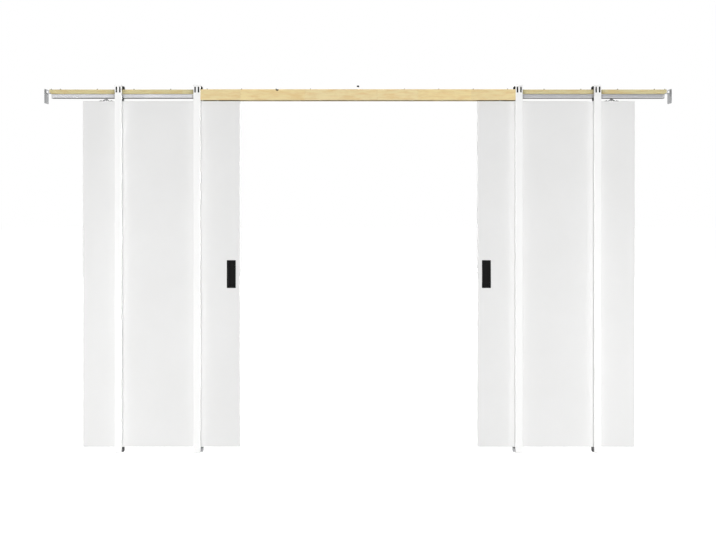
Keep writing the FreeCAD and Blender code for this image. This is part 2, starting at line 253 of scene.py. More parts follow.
world = bpy.data.worlds.new("white_room")
world.use_nodes = True
scene.world = world
sky = world.node_tree
sky.nodes.clear()
soft = add_node(sky, "ShaderNodeBackground", {"Color": WHITE, "Strength": ROOM_LIGHT}).outputs[0]
white = add_node(sky, "ShaderNodeBackground", {"Color": WHITE, "Strength": BACKDROP_LIGHT}).outputs[0]
backdrop = add_node(sky, "ShaderNodeMixShader", {0: seen_directly(sky), 1: soft, 2: white}).outputs[0]
add_node(sky, "ShaderNodeOutputWorld", {"Surface": backdrop})
print("room light", ROOM_LIGHT, "backdrop", BACKDROP_LIGHT)

# %% [markdown]
# ## Lamps
#
# Soft boxes are large area lamps. One stands far out in front, so its light falls off little over the width,
# and two small ones low down lift the feet of the doors. One behind and a long one overhead light the back
# and the top for other views. Narrow ones without shadows fill the flanks of the studs: two far out in the
# plane of the wall, and two inside it for the flanks that face the doorway. Metal needs something to mirror,
# so one more box is seen in reflections only.

# %% Soft boxes
# For each lamp: its place and its aim from the middle of the doorway, its width and height, its watts, and
# the angle of its beam in degrees.
SOFT_BOXES = {
    "front_box": ((0, -14.0, 2.5), (0, 0, 1.1), (3.0, 2.0), 1352, 180),
    "low_left_box": ((-2.7, -6.0, 0.45), (-2.0, 0, 0.4), (1.2, 0.6), 7.7, 50),
    "low_right_box": ((2.7, -6.0, 0.45), (2.0, 0, 0.4), (1.2, 0.6), 7.7, 50),
    "metal_box": ((-2.73, -7.0, 2.6), (-1.13, 0, 2.0), (2.6, 1.6), 36, 180),
    "rear_box": ((0, 14.0, 2.5), (0, 0, 1.1), (3.0, 2.0), 1450, 180),
    "top_box": ((0, 0, 3.4), (0, 0, 0), (3.7, 0.1), 17, 180),
    "left_fill": ((-8.93, 0, 1.2), (0, 0, 1.2), (0.5, 2.0), 105, 180),
    "right_fill": ((8.93, 0, 1.2), (0, 0, 1.2), (0.5, 2.0), 105, 180),
    "left_flank_fill": ((-0.86, 0, 1.05), (1.07, 0, 1.05), (0.03, 2.1), 1.3, 25),
    "right_flank_fill": ((0.87, 0, 1.05), (-1.13, 0, 1.05), (0.03, 2.1), 2.35, 25),
}
doorway_middle = Vector((doorway_x, 0, 0))

for name, (place, aim, size, watts, beam) in SOFT_BOXES.items():
    data = bpy.data.lights.new(name, "AREA")
    data.shape = "RECTANGLE"
    data.size, data.size_y = size
    data.energy = watts
    data.spread = math.radians(beam)
    data.use_shadow = not name.endswith("fill")
    lamp = bpy.data.objects.new(name, data)
    lamp.location = doorway_middle + Vector(place)
    lamp.rotation_euler = (Vector(aim) - Vector(place)).to_track_quat("-Z", "Y").to_euler()
    lamp.visible_camera = False
    lamp.visible_glossy = name == "metal_box"
    lamp.visible_diffuse = name != "metal_box"
    scene.collection.objects.link(lamp)
print("lamps:", ", ".join(SOFT_BOXES))

# %% [markdown]
# ## Painted corner shade
#
# This group paints shade into the colour where pieces meet, such as beside the studs. An Ambient Occlusion
# node measures how much of the room a point sees within a short reach, and the group turns that into a
# painted shade from a chosen depth up to 1. The white floor also lights undersides more than a real room
# does, so the group gives a second painted shade, for faces that look down. The wood and the track both use
# the pair.

# %% Group: painted corner shade
CORNER_SAMPLES = 8
OPEN_SHARE = (0.5, 1.0)
LOOKS_DOWN = (-0.8, -0.5)


def make_painted_shade_group():
    inputs = {"Reach": FLOAT, "Depth": FLOAT, "Underside": FLOAT}
    tree, given, result = start_group("painted_corner_shade", inputs, {"Shade": FLOAT, "Under": FLOAT})
    reach = {"Distance": given["Reach"]}
    # Painted shade: the less of the room a point sees, the darker its colour.
    room = add_node(tree, "ShaderNodeAmbientOcclusion", reach, samples=CORNER_SAMPLES).outputs["AO"]
    tree.links.new(spread(tree, room, OPEN_SHARE, (given["Depth"], 1.0)), result["Shade"])
    upward = split(tree, surface_normal(tree))["Z"]
    tree.links.new(spread(tree, upward, LOOKS_DOWN, (given["Underside"], 1.0)), result["Under"])
    return tree


painted_shade_group = make_painted_shade_group()
print("group:", painted_shade_group.name)

# %% [markdown]
# ## Pine
#
# The header and the nailers are finger-jointed pine: short blocks, each from another tree, glued end to end.
# A picture of wood would slide over the edges, so the grain is solid instead. The rings are cylinders round a
# pith that lies along the board, and each block gets its own pith, so faces, edges and ends all agree.

# %% Blocks and finger joints
FINGER_PITCH = 0.004
FINGER_DEPTH = 0.009
JOINT_LINE = 0.0007
BLOCK_RANDOMNESS = 0.7


def add_blocks(tree, point, length):
    """A colour of its own for each block along the board, and a mask of the zigzag joints between them."""
    axes = split(tree, point)
    zigzag = calc(tree, "PINGPONG", axes["Z"], FINGER_PITCH / 2)
    along = calc(tree, "MULTIPLY_ADD", zigzag, 2 * FINGER_DEPTH / FINGER_PITCH, axes["X"])
    cells = {"W": calc(tree, "DIVIDE", along, length), "Scale": 1.0, "Randomness": BLOCK_RANDOMNESS}
    block = add_node(tree, "ShaderNodeTexVoronoi", cells, voronoi_dimensions="1D").outputs["Color"]
    edge = add_node(
        tree, "ShaderNodeTexVoronoi", cells, voronoi_dimensions="1D", feature="DISTANCE_TO_EDGE"
    ).outputs["Distance"]
    joint = spread(tree, calc(tree, "MULTIPLY", edge, length), (0.0, JOINT_LINE), (1.0, 0.0))
    return block, joint


print("finger joints every", FINGER_PITCH, "m")

# %% The knot in the front nailer
KNOT_PLACE = Vector((0.4655, -0.0445, 2.105))
KNOT_FLATNESS = (1.0, 1.0, 1.4)
KNOT_RADIUS = 0.007
KNOT_RIM = 0.0088
KNOT_REACH = 0.035
KNOT_SWIRL = 9.0


def add_knot(tree, point):
    """A mask of the knot, and how far the rings bend round it."""
    from_knot = stretch(tree, shift(tree, point, -KNOT_PLACE), KNOT_FLATNESS)
    distance = add_node(tree, "ShaderNodeVectorMath", {0: from_knot}, operation="LENGTH").outputs["Value"]
    knot = spread(tree, distance, (KNOT_RADIUS, KNOT_RIM), (1.0, 0.0))
    swirl = spread(tree, distance, (KNOT_RADIUS, KNOT_REACH), (KNOT_SWIRL, 0.0))
    return knot, swirl


print("knot at", tuple(KNOT_PLACE))

# %% Rings round the pith
RING_SPACING = 0.0042
WAVE_RADIANS = 20
WAVE_SCALE = 2 * math.pi / WAVE_RADIANS / RING_SPACING
TO_MIDDLE = (-0.5, -0.5, -0.5)
WANDER_STRETCH = (1.4, 9.0, 9.0)
WANDER_REACH = (0.0, 0.03, 0.03)
LATE_SHARPNESS = 2.2


def add_rings(tree, point, swirl):
    """The late wood of each ring, on cylinders along X that wander a little."""
    wander = noise(tree, stretch(tree, point, WANDER_STRETCH), detail=2.0)["Color"]
    bent = shift(tree, point, stretch(tree, shift(tree, wander, TO_MIDDLE), WANDER_REACH))
    rings = add_node(
        tree, "ShaderNodeTexWave", {"Vector": bent, "Scale": WAVE_SCALE, "Phase Offset": swirl},
        wave_type="RINGS", rings_direction="X", wave_profile="SAW",
    ).outputs["Fac"]
    return calc(tree, "POWER", rings, LATE_SHARPNESS)


print("a ring every", RING_SPACING, "m")

# %% Group: finger-jointed pine
EARLY_WOOD = (0.855, 0.68, 0.35, 1)
PALE_BLOCK = (0.85, 0.705, 0.425, 1)
FIGURE_WOOD = (0.76, 0.52, 0.24, 1)
LATE_WOOD = (0.62, 0.41, 0.165, 1)
KNOT_WOOD = (0.045, 0.033, 0.014, 1)
PITH_SPREAD = (3.0, 0.16, 0.16)
FIBRE_STRETCH = (9.0, 420.0, 420.0)
FIGURE_STRETCH = (12.0, 55.0, 55.0)
FIBRE_RANGE = (0.3, 0.7)
FIGURE_RANGE = (0.42, 0.66)
PALE_SHARE = 0.5
FIGURE_SHARE = 0.75
LATE_SHARE = 0.5
BLOCK_TONES = (0.945, 1.015)
FIBRE_TONES = (0.95, 1.04)
JOINT_TONE = 0.78
PINE_ROUGHNESS = (0.52, 0.70)
LATE_SINK = 0.4


def make_pine_group():
    outputs = {"Color": COLOUR, "Roughness": FLOAT, "Height": FLOAT}
    inputs = {"Point": VECTOR, "Block Length": FLOAT, "Tint": COLOUR}
    tree, given, result = start_group("jointed_pine", inputs, outputs)
    block, joint = add_blocks(tree, given["Point"], given["Block Length"])
    knot, swirl = add_knot(tree, given["Point"])
    pith = stretch(tree, shift(tree, block, TO_MIDDLE), PITH_SPREAD)
    moved = shift(tree, given["Point"], pith)
    late = add_rings(tree, moved, swirl)
    fibre = noise(tree, stretch(tree, moved, FIBRE_STRETCH), detail=3.0)["Fac"]
    figure = noise(tree, stretch(tree, moved, FIGURE_STRETCH), detail=4.0, roughness=0.6)["Fac"]
    tone = add_node(tree, "ShaderNodeSeparateColor", {0: block}).outputs

    wood = mix_colours(tree, calc(tree, "MULTIPLY", tone["Red"], PALE_SHARE), EARLY_WOOD, PALE_BLOCK)
    wood = mix_colours(tree, spread(tree, figure, FIGURE_RANGE, (0.0, FIGURE_SHARE)), wood, FIGURE_WOOD)
    wood = mix_colours(tree, calc(tree, "MULTIPLY", late, LATE_SHARE), wood, LATE_WOOD)
    shade = spread(tree, tone["Green"], UNIT, BLOCK_TONES)
    shade = calc(tree, "MULTIPLY", shade, spread(tree, fibre, FIBRE_RANGE, FIBRE_TONES))
    shade = calc(tree, "MULTIPLY", shade, spread(tree, joint, UNIT, (1.0, JOINT_TONE)))
    wood = mix_colours(tree, knot, shade_colour(tree, wood, shade), KNOT_WOOD)
    tree.links.new(shade_colour(tree, wood, given["Tint"]), result["Color"])
    tree.links.new(spread(tree, fibre, FIBRE_RANGE, PINE_ROUGHNESS), result["Roughness"])
    relief = calc(tree, "MULTIPLY_ADD", late, -LATE_SINK, fibre)
    tree.links.new(calc(tree, "SUBTRACT", relief, joint), result["Height"])
    return tree


pine_group = make_pine_group()
print("group:", pine_group.name)

# %% Materials: planed pine, and the greyer pine of the strip
PINE_BLOCK_LENGTH = 0.34
# The corner values paint shade into the wood, in corners and on faces that look down.
PINE_CORNER = {"Reach": 0.05, "Depth": 0.2, "Underside": 0.62}
PINE_SHEEN = 0.35
PINE_RELIEF = 0.00012
NAILER_TINT = (1.085, 1.14, 1.2, 1)
STRIP_TINT = (0.873, 0.985, 1.065, 1)


def make_pine(name, tint):
    material, tree, surface, point = start_material(name)
    pine = use_group(tree, pine_group, {"Point": point, "Block Length": PINE_BLOCK_LENGTH, "Tint": tint})
    corner = use_group(tree, painted_shade_group, PINE_CORNER)
    # Painted shade multiplies the wood colour.
    shade = calc(tree, "MULTIPLY", corner["Shade"], corner["Under"])
    tree.links.new(shade_colour(tree, pine["Color"], shade), surface["Base Color"])
    tree.links.new(pine["Roughness"], surface["Roughness"])
    surface["Specular IOR Level"].default_value = PINE_SHEEN
    add_bump(tree, surface, pine["Height"], PINE_RELIEF)
    return material


finishes["pine"] = make_pine("planed_pine", NAILER_TINT)
finishes["header_strip"] = make_pine("strip_pine", STRIP_TINT)
print("finishes: pine and header_strip, blocks of", PINE_BLOCK_LENGTH, "m")

# %% [markdown]
# ## Paint
#
# The studs carry a hard white powder coat and the doors a sprayed satin paint. Both dry with a faint orange
# peel, larger on powder than on spray, and both pick up a little handling dust. One group makes that skin,
# and each material gives it a grain size of its own.

# %% Group: paint skin
CLOUDS_PER_METRE = 2.3
CLOUD_RANGE = (0.35, 0.65)
RUB_STRETCH = (14.0, 14.0, 2.0)
RUB_RANGE = (0.35, 0.7)
RUB_ROUGHNESS = (-0.05, 0.07)


def make_paint_group():
    inputs = {"Point": VECTOR, "Grains Per Metre": FLOAT}
    outputs = {"Tone": FLOAT, "Roughness Shift": FLOAT, "Height": FLOAT}
    tree, given, result = start_group("paint_skin", inputs, outputs)
    peel = noise(tree, given["Point"], detail=1.5, scale=given["Grains Per Metre"])["Fac"]
    cloud = noise(tree, given["Point"], detail=4.0, scale=CLOUDS_PER_METRE, roughness=0.6)["Fac"]
    rub = noise(tree, stretch(tree, given["Point"], RUB_STRETCH), detail=5.0)["Fac"]
    tree.links.new(spread(tree, cloud, CLOUD_RANGE, UNIT), result["Tone"])
    tree.links.new(spread(tree, rub, RUB_RANGE, RUB_ROUGHNESS), result["Roughness Shift"])
    tree.links.new(peel, result["Height"])
    return tree


paint_group = make_paint_group()
print("group:", paint_group.name)

# %% Material: painted doors
DOOR_PAINT = (0.806, 0.806, 0.803, 1)
DOOR_PAINT_SHADE = (0.787, 0.787, 0.782, 1)
DOOR_GRAINS = 900.0
DOOR_ROUGHNESS = 0.44
DOOR_PEEL = 0.00005


def make_door_paint():
    material, tree, surface, point = start_material("door_satin_paint")
    skin = use_group(tree, paint_group, {"Point": point, "Grains Per Metre": DOOR_GRAINS})
    tree.links.new(mix_colours(tree, skin["Tone"], DOOR_PAINT, DOOR_PAINT_SHADE), surface["Base Color"])
    tree.links.new(calc(tree, "ADD", skin["Roughness Shift"], DOOR_ROUGHNESS), surface["Roughness"])
    add_bump(tree, surface, skin["Height"], DOOR_PEEL)
    return material


finishes["door_white"] = make_door_paint()
print("finish: door_white")

# %% [markdown]
# ## Metals
#
# Three bare metals show different making. The track is drawn aluminium with fine lines along its length; a
# painted highlight brightens its lower edge and painted shade darkens its underside. The end brackets and
# floor plates are dipped in zinc and show its crystals, and the bolts are plated bright. Two groups cover
# them: drawn lines and zinc crystals.

# %% Group: drawn lines
LINE_RANGE = (0.3, 0.7)
SMUDGES_PER_METRE = 22.0
SMUDGE_RANGE = (0.4, 0.7)


def make_drawn_group():
    outputs = {"Line": FLOAT, "Smudge": FLOAT}
    tree, given, result = start_group("drawn_lines", {"Point": VECTOR, "Stretch": VECTOR}, outputs)
    drawn = stretch(tree, given["Point"], given["Stretch"])
    line = noise(tree, drawn, detail=4.0, roughness=0.65)["Fac"]
    smudge = noise(tree, given["Point"], detail=5.0, scale=SMUDGES_PER_METRE, roughness=0.6)["Fac"]
    tree.links.new(spread(tree, line, LINE_RANGE, UNIT), result["Line"])
    tree.links.new(spread(tree, smudge, SMUDGE_RANGE, UNIT), result["Smudge"])
    return tree


drawn_group = make_drawn_group()
print("group:", drawn_group.name)

# %% Group: zinc crystals
WOBBLES_PER_METRE = 160.0
WOBBLE_REACH = (0.006, 0.006, 0.006)
SEAM_WIDTH = 0.12


def make_crystal_group():
    inputs = {"Point": VECTOR, "Crystals Per Metre": FLOAT}
    tree, given, result = start_group("zinc_crystals", inputs, {"Crystal": FLOAT, "Seam": FLOAT})
    wobble = noise(tree, given["Point"], detail=2.0, scale=WOBBLES_PER_METRE)["Color"]
    bent = shift(tree, given["Point"], stretch(tree, wobble, WOBBLE_REACH))
    cells = {"Vector": bent, "Scale": given["Crystals Per Metre"]}
    crystal = add_node(tree, "ShaderNodeTexVoronoi", cells).outputs["Color"]
    edge = add_node(tree, "ShaderNodeTexVoronoi", cells, feature="DISTANCE_TO_EDGE").outputs["Distance"]
    tree.links.new(add_node(tree, "ShaderNodeSeparateColor", {0: crystal}).outputs["Red"], result["Crystal"])
    tree.links.new(spread(tree, edge, (0.0, SEAM_WIDTH), (1.0, 0.0)), result["Seam"])
    return tree


crystal_group = make_crystal_group()
print("group:", crystal_group.name)

# %% Material: drawn track
TRACK_LIGHT = (0.48, 0.48, 0.49, 1)
TRACK_DARK = (0.38, 0.38, 0.39, 1)
TRACK_EDGE = (0.3, 0.3, 0.31, 1)
TRACK_LINES = (2.0, 1400.0, 1400.0)
# These values paint shade beside the studs and under the track, and a highlight along its lower edge.
TRACK_CORNER = {"Reach": 0.02, "Depth": 0.35, "Underside": 0.1}
LIP_FACING = (-0.25, -0.05)
LIP_PAINTED_HIGHLIGHT = 1.2
OVERHANG_BELOW_TOP = (0.008, 0.004)
TRACK_ROUGHNESS = (0.36, 0.46)
TRACK_RELIEF = 0.00002
track_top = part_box("track")[1].z


def make_track_metal():
    material, tree, surface, point = start_material("drawn_aluminium")
    drawn = use_group(tree, drawn_group, {"Point": point, "Stretch": TRACK_LINES})
    metal = mix_colours(tree, drawn["Line"], TRACK_DARK, TRACK_LIGHT)
    # Painted highlight: the lower edge is brightened.
    lip_highlight = spread(tree, split(tree, surface_normal(tree))["Z"], LIP_FACING, (LIP_PAINTED_HIGHLIGHT, 1.0))
    corner = use_group(tree, painted_shade_group, TRACK_CORNER)
    near_top = [track_top - depth for depth in OVERHANG_BELOW_TOP]
    overhang = spread(tree, split(tree, point)["Z"], near_top, UNIT)
    # Painted shade beside the studs, held off just under the top, where the strip overhangs.
    recess = calc(tree, "MAXIMUM", corner["Shade"], overhang)
    shade = calc(tree, "MULTIPLY", calc(tree, "MULTIPLY", lip_highlight, corner["Under"]), recess)
    tree.links.new(shade_colour(tree, metal, shade), surface["Base Color"])
    surface["Metallic"].default_value = 1.0
    surface["Specular Tint"].default_value = TRACK_EDGE
    tree.links.new(spread(tree, drawn["Smudge"], UNIT, TRACK_ROUGHNESS), surface["Roughness"])
    add_bump(tree, surface, drawn["Line"], TRACK_RELIEF)
    return material


finishes["track_aluminium"] = make_track_metal()
print("finish: track_aluminium")

# %% Material: galvanised brackets and floor plates
ZINC_LIGHT = (0.435, 0.44, 0.445, 1)
ZINC_DARK = (0.31, 0.315, 0.32, 1)
ZINC_CRYSTALS = 150.0
ZINC_ROUGHNESS = (0.34, 0.56)
ZINC_RELIEF = 0.00003


def make_galvanised():
    material, tree, surface, point = start_material("galvanised_sheet")
    crystals = use_group(tree, crystal_group, {"Point": point, "Crystals Per Metre": ZINC_CRYSTALS})
    tree.links.new(mix_colours(tree, crystals["Crystal"], ZINC_DARK, ZINC_LIGHT), surface["Base Color"])
    surface["Metallic"].default_value = 1.0
    tree.links.new(spread(tree, crystals["Crystal"], UNIT, ZINC_ROUGHNESS), surface["Roughness"])
    add_bump(tree, surface, crystals["Seam"], ZINC_RELIEF)
    return material


finishes["galvanised_steel"] = make_galvanised()
print("finish: galvanised_steel")

# %% Material: plated bolts and trolleys
PLATED_LIGHT = (0.40, 0.40, 0.41, 1)
PLATED_DARK = (0.28, 0.28, 0.29, 1)
PLATED_LINES = (500.0, 500.0, 60.0)
PLATED_ROUGHNESS = (0.24, 0.40)
PLATED_RELIEF = 0.00003


def make_plated():
    material, tree, surface, point = start_material("plated_steel")
    drawn = use_group(tree, drawn_group, {"Point": point, "Stretch": PLATED_LINES})
    tree.links.new(mix_colours(tree, drawn["Smudge"], PLATED_LIGHT, PLATED_DARK), surface["Base Color"])
    surface["Metallic"].default_value = 1.0
    tree.links.new(spread(tree, drawn["Line"], UNIT, PLATED_ROUGHNESS), surface["Roughness"])
    add_bump(tree, surface, drawn["Line"], PLATED_RELIEF)
    return material


finishes["zinc_steel"] = make_plated()
print("finish: zinc_steel")

# %% [markdown]
# ## Coated strip for the studs
#
# The studs are rolled from strip that is powder coated on its outer side only, so a look into a channel shows
# bare zinc, darkened further as painted shade for the deep channel. The slots and a narrow rim round them
# get a painted shade as well, so that they read as dark holes. Splitting the stud's mesh for that isn't
# needed: the studs stand at known places, so the distance from the middle of a channel tells inside from
# outside, and the distance from the middle of a slot finds its rim.

# %% Where the studs and their slots are
SHEET = 0.0012
INSIDE_MARGIN = 0.0003
SLOT_ACROSS = 0.010
SLOT_UNDER_TOP = 0.027
SLOT_SHADE_HALF_WIDTH = 0.0044
SLOT_SHADE_HALF_HEIGHT = 0.0168

stud_half = (stud_high.x - stud_low.x) / 2
inner_stud = doorway_x - (stud_low.x + stud_half)
outer_stud = doorway_x - (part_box("left_outer_front_stud")[0].x + stud_half)
wall_face = -stud_low.y
slot_middle = stud_high.z - SLOT_UNDER_TOP


def mask_inside(tree, across, axes):
    """1 on the inner side of the strip, and 0 on its outer side and edges."""
    between_flanges = calc(tree, "LESS_THAN", across, stud_half - SHEET + INSIDE_MARGIN)
    depth = calc(tree, "ABSOLUTE", axes["Y"])
    behind_web = calc(tree, "LESS_THAN", depth, wall_face - SHEET + INSIDE_MARGIN)
    return calc(tree, "MULTIPLY", between_flanges, behind_web)


def mask_slot_shade(tree, across, axes):
    """1 in the slots and on a narrow rim round them, where shade is painted."""
    beside_slot = calc(tree, "COMPARE", across, SLOT_ACROSS, SLOT_SHADE_HALF_WIDTH)
    level_with_slot = calc(tree, "COMPARE", axes["Z"], slot_middle, SLOT_SHADE_HALF_HEIGHT)
    return calc(tree, "MULTIPLY", beside_slot, level_with_slot)


print("pairs of studs at", round(inner_stud, 4), "and", round(outer_stud, 4), "m from the middle")

# %% Material: white studs, bare inside with painted shade
STUD_COAT = (0.955, 0.955, 0.95, 1)
STUD_COAT_SHADE = (0.935, 0.935, 0.93, 1)
# The bare inside is far darker than bare zinc: painted shade for the deep channel.
BARE_ZINC_AND_SHADE_LIGHT = (0.09, 0.09, 0.093, 1)
BARE_ZINC_AND_SHADE_DARK = (0.06, 0.06, 0.063, 1)
# The slot colour is painted shade, so the slots read as dark holes.
PAINTED_SLOT_SHADE = (0.057, 0.057, 0.06, 1)
COAT_GRAINS = 500.0
BARE_CRYSTALS = 220.0
BARE_METALLIC = 0.6
COAT_ROUGHNESS = 0.38
BARE_ROUGHER = 0.16
COAT_PEEL = 0.00006


def make_stud_coat():
    material, tree, surface, point = start_material("stud_powder_coat")
    axes = split(tree, point)
    from_middle = calc(tree, "ABSOLUTE", calc(tree, "SUBTRACT", axes["X"], doorway_x))
    to_inner = calc(tree, "ABSOLUTE", calc(tree, "SUBTRACT", from_middle, inner_stud))
    to_outer = calc(tree, "ABSOLUTE", calc(tree, "SUBTRACT", from_middle, outer_stud))
    across = calc(tree, "MINIMUM", to_inner, to_outer)
    inside = mask_inside(tree, across, axes)
    slot_shade = mask_slot_shade(tree, across, axes)

    skin = use_group(tree, paint_group, {"Point": point, "Grains Per Metre": COAT_GRAINS})
    coat = mix_colours(tree, skin["Tone"], STUD_COAT, STUD_COAT_SHADE)
    crystals = use_group(tree, crystal_group, {"Point": point, "Crystals Per Metre": BARE_CRYSTALS})
    bare_and_shade = mix_colours(tree, crystals["Crystal"], BARE_ZINC_AND_SHADE_DARK, BARE_ZINC_AND_SHADE_LIGHT)
    strip = mix_colours(tree, inside, coat, bare_and_shade)
    tree.links.new(mix_colours(tree, slot_shade, strip, PAINTED_SLOT_SHADE), surface["Base Color"])
    tree.links.new(calc(tree, "MULTIPLY", inside, BARE_METALLIC), surface["Metallic"])
    coat_rough = calc(tree, "ADD", skin["Roughness Shift"], COAT_ROUGHNESS)
    tree.links.new(calc(tree, "MULTIPLY_ADD", inside, BARE_ROUGHER, coat_rough), surface["Roughness"])
    add_bump(tree, surface, skin["Height"], COAT_PEEL)
    return material


finishes["white_steel"] = make_stud_coat()
print("finish: white_steel")

# %% [markdown]
# ## Black pieces and nylon
#
# The pulls have a fine sand texture under matt black, and the hanger plates a thin black oxide that rubs
# grey. Edges that hands and screwdrivers touch wear first. A bevel node rounds the shading normal near edges
# only, so comparing it with the true normal finds the edges on any shape. The wheels and the centre sleeve
# are moulded nylon, which has a skin like paint and lets a little light in.

# %% Group: edge wear
BEVEL_SAMPLES = 4
EDGE_FACING = (0.995, 0.86)
PATCHES_PER_METRE = 140.0
PATCH_RANGE = (0.45, 0.62)


def make_wear_group():
    tree, given, result = start_group("edge_wear", {"Point": VECTOR, "Radius": FLOAT}, {"Wear": FLOAT})
    radius = {"Radius": given["Radius"]}
    rounded = add_node(tree, "ShaderNodeBevel", radius, samples=BEVEL_SAMPLES).outputs["Normal"]
    both = {0: rounded, 1: surface_normal(tree)}
    facing = add_node(tree, "ShaderNodeVectorMath", both, operation="DOT_PRODUCT").outputs["Value"]
    edge = spread(tree, facing, EDGE_FACING, UNIT)
    patch = noise(tree, given["Point"], detail=6.0, scale=PATCHES_PER_METRE, roughness=0.7)["Fac"]
    tree.links.new(calc(tree, "MULTIPLY", edge, spread(tree, patch, PATCH_RANGE, UNIT)), result["Wear"])
    return tree


wear_group = make_wear_group()
print("group:", wear_group.name)

# %% Material: black pulls
PULL_BLACK = (0.007, 0.007, 0.007, 1)
PULL_WORN = (0.03, 0.029, 0.028, 1)
PULL_WEAR_RADIUS = 0.0006
SANDS_PER_METRE = 1700.0
SAND_RANGE = (0.35, 0.65)
PULL_ROUGHNESS = (0.48, 0.62)
PULL_SHEEN = 0.09
SAND_RELIEF = 0.00008


def make_pull_black():
    material, tree, surface, point = start_material("sanded_black")
    wear = use_group(tree, wear_group, {"Point": point, "Radius": PULL_WEAR_RADIUS})["Wear"]
    sand = noise(tree, point, detail=2.0, scale=SANDS_PER_METRE)["Fac"]
    tree.links.new(mix_colours(tree, wear, PULL_BLACK, PULL_WORN), surface["Base Color"])
    tree.links.new(spread(tree, sand, SAND_RANGE, PULL_ROUGHNESS), surface["Roughness"])
    surface["Specular IOR Level"].default_value = PULL_SHEEN
    add_bump(tree, surface, sand, SAND_RELIEF)
    return material


finishes["black_pull"] = make_pull_black()
print("finish: black_pull")

# %% Material: black oxide of the hanger plates
OXIDE_BLACK = (0.035, 0.035, 0.037, 1)
OXIDE_WORN = (0.22, 0.22, 0.225, 1)
OXIDE_WEAR_RADIUS = 0.0004
OXIDE_LINES = (300.0, 300.0, 300.0)
OXIDE_METALLIC = 0.6
OXIDE_ROUGHNESS = (0.36, 0.51)
OXIDE_RELIEF = 0.00002


def make_oxide_black():
    material, tree, surface, point = start_material("black_oxide")
    wear = use_group(tree, wear_group, {"Point": point, "Radius": OXIDE_WEAR_RADIUS})["Wear"]
    drawn = use_group(tree, drawn_group, {"Point": point, "Stretch": OXIDE_LINES})
    tree.links.new(mix_colours(tree, wear, OXIDE_BLACK, OXIDE_WORN), surface["Base Color"])
    surface["Metallic"].default_value = OXIDE_METALLIC
    tree.links.new(spread(tree, drawn["Line"], UNIT, OXIDE_ROUGHNESS), surface["Roughness"])
    add_bump(tree, surface, drawn["Line"], OXIDE_RELIEF)
    return material


finishes["black_steel"] = make_oxide_black()
print("finish: black_steel")

# %% Material: moulded nylon
NYLON_LIGHT = (0.94, 0.94, 0.93, 1)
NYLON_SHADE = (0.89, 0.89, 0.875, 1)
NYLON_GRAINS = 1500.0
NYLON_ROUGHNESS = 0.42
NYLON_GLOW_WEIGHT = 0.1
NYLON_GLOW_DEPTH = (0.002, 0.002, 0.002)
NYLON_RELIEF = 0.00003


def make_nylon():
    material, tree, surface, point = start_material("moulded_nylon")
    skin = use_group(tree, paint_group, {"Point": point, "Grains Per Metre": NYLON_GRAINS})
    tree.links.new(mix_colours(tree, skin["Tone"], NYLON_LIGHT, NYLON_SHADE), surface["Base Color"])
    tree.links.new(calc(tree, "ADD", skin["Roughness Shift"], NYLON_ROUGHNESS), surface["Roughness"])
    surface["Subsurface Weight"].default_value = NYLON_GLOW_WEIGHT
    surface["Subsurface Radius"].default_value = NYLON_GLOW_DEPTH
    add_bump(tree, surface, skin["Height"], NYLON_RELIEF)
    return material


finishes["white_nylon"] = make_nylon()
print("finish: white_nylon")

# %% [markdown]
# ## Dressing the model
#
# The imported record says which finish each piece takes, so one loop dresses them all. A finish with a piece's
# own name, such as the strip's, comes first. The meshes stay as they are: only the material in each slot
# changes.

# %% Finishes on the pieces of the model
for part in frame["record"]["subparts"]:
    piece = nodes[part["node"]]
    if not piece.material_slots:
        piece.data.materials.append(None)
    for slot in piece.material_slots:
        slot.material = finishes.get(part["node"], finishes[part["material_slot"]])

# %% [markdown]
# ## Screws
#
# All the screws have round heads with a four-lobed recess. A head is turned work, so its outline could be
# spun, but the lobes aren't round. Growing one loop of edges outward, ring by ring, from the floor of the
# recess over the dome and down to the seat makes both in one skin with no seams.

# %% Rings of edges
SCREW_SIDES = 24
LOBES = 4


def ring_places(radius, lobe, height):
    """Points of one ring: round for a lobe of 0, four-lobed for more."""
    places = []
    for number in range(SCREW_SIDES):
        angle = 2 * math.pi * number / SCREW_SIDES
        reach = radius * (1 + lobe * math.cos(LOBES * angle))
        places.append(Vector((reach * math.cos(angle), reach * math.sin(angle), height)))
    return places


def grow_ring(shape, edges, places):
    """Extrudes a loop of edges and moves the new points to their places."""
    before = {point for edge in edges for point in edge.verts}
    grown = bmesh.ops.extrude_edge_only(shape, edges=edges)["geom"]
    points = [item for item in grown if isinstance(item, bmesh.types.BMVert) and item not in before]
    for point in points:
        turn = math.atan2(point.co.y, point.co.x) % (2 * math.pi)
        point.co = places[round(turn / (2 * math.pi) * SCREW_SIDES) % SCREW_SIDES]
    fresh = set(points)
    return [item for item in grown if isinstance(item, bmesh.types.BMEdge) and set(item.verts) <= fresh]


print("screw rings of", SCREW_SIDES, "sides")

# %% One screw, grown ring by ring
# A ring is a share of the head's radius, a lobe, and a share of the head's height.
LOBE = 0.22
FLOOR_RING = (0.36, LOBE, 0.45)
HEAD_RINGS = [
    (0.42, LOBE, 0.90),
    (0.55, 0.0, 1.0),
    (0.80, 0.0, 0.90),
    (0.95, 0.0, 0.62),
    (1.0, 0.0, 0.28),
    (1.0, 0.0, 0.06),
    (0.97, 0.0, 0.0),
]
UP = Vector((0, 0, 1))


